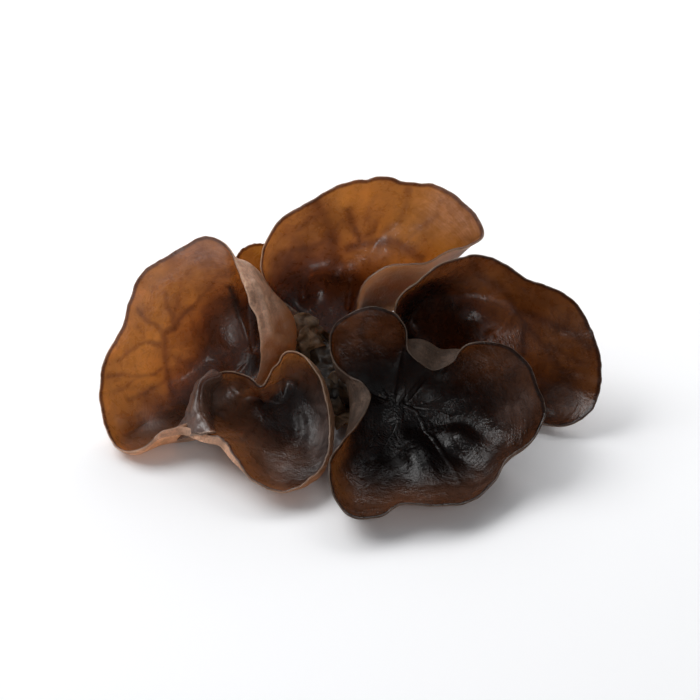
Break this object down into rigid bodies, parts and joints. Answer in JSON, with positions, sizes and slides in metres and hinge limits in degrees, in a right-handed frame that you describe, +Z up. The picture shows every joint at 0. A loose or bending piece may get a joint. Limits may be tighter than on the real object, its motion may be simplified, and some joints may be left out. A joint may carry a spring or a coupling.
{
  "type": "wood ear mushroom",
  "caption": "Cluster of thin, wavy-rimmed ear-shaped cups of gelatinous brown flesh that flare out from one shared base with a flat cut underside.",
  "frame": {"origin": "centre of the flat cut face under the shared base", "axes": "+X to the right along the cluster's longest extent, +Y from the low front ears towards the tall back ear, +Z up, with the cut face looking along -Z"},
  "size_m": [0.1251, 0.0846, 0.0526],
  "materials": {
    "front_right_flesh": "wet, translucent near-black brown jelly with a velvety tan outer side",
    "front_left_flesh": "wet, translucent amber and purple-brown jelly with a velvety tan outer side",
    "left_flesh": "satin, translucent amber jelly with dark veins and a velvety tan outer side",
    "back_flesh": "satin, translucent amber jelly with dark veins and a velvety tan outer side",
    "right_flesh": "satin, translucent red-brown jelly with a velvety tan outer side",
    "small_back_flesh": "satin, translucent red-brown jelly",
    "base_flesh": "crumpled, moist olive-brown tissue"
  },
  "bodies": {
    "root": {"front_right_ear": "front_right_flesh", "front_left_ear": "front_left_flesh", "left_ear": "left_flesh", "back_ear": "back_flesh", "right_ear": "right_flesh", "small_back_ear": "small_back_flesh", "base": "base_flesh"}
  },
  "joints": []
}
